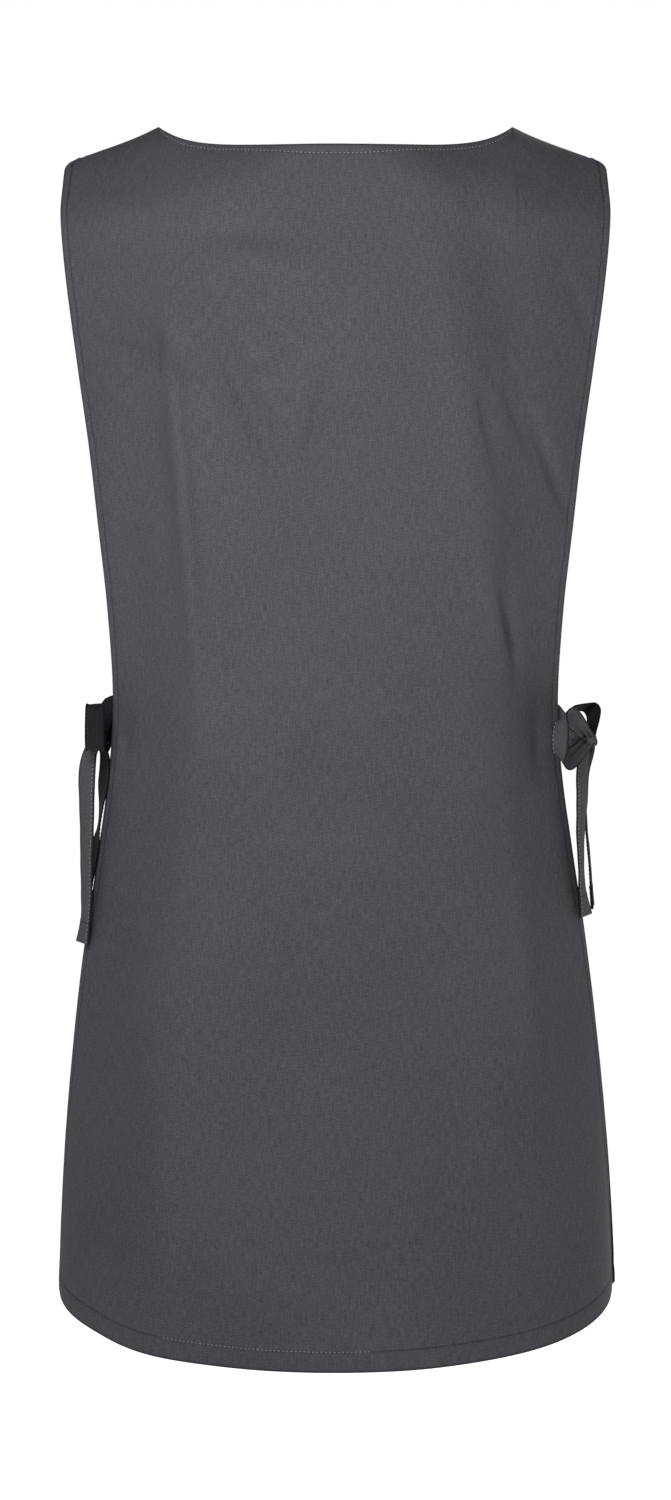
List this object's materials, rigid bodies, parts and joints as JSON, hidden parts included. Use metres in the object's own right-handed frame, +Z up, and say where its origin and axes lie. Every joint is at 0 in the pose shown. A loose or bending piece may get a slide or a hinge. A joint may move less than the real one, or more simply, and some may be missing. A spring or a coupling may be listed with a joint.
{
  "type": "cobbler apron",
  "caption": "Sleeveless over-the-head work apron of grey twill with a back and a front panel, open sides and fabric ties knotted in a bow at each side of the waist.",
  "frame": {"origin": "midway between the two shoulder seams, at the height where they rest on the wearer", "axes": "+Z up along the apron's length, +Y towards the front panel, +X towards the right of someone who looks at the back panel"},
  "size_m": [0.3939, 0.2904, 0.8422],
  "materials": {
    "panel_twill": "matt anthracite grey polyester cotton twill",
    "tie_twill": "matt anthracite grey twill strap",
    "tie_black": "matt black woven reverse of the strap"
  },
  "bodies": {
    "root": {"back_panel": "panel_twill", "front_panel": "panel_twill", "tie_left_back": "tie_twill", "tie_left_front": "tie_black", "tie_right_back": "tie_twill", "tie_right_front": "tie_twill"}
  },
  "joints": []
}
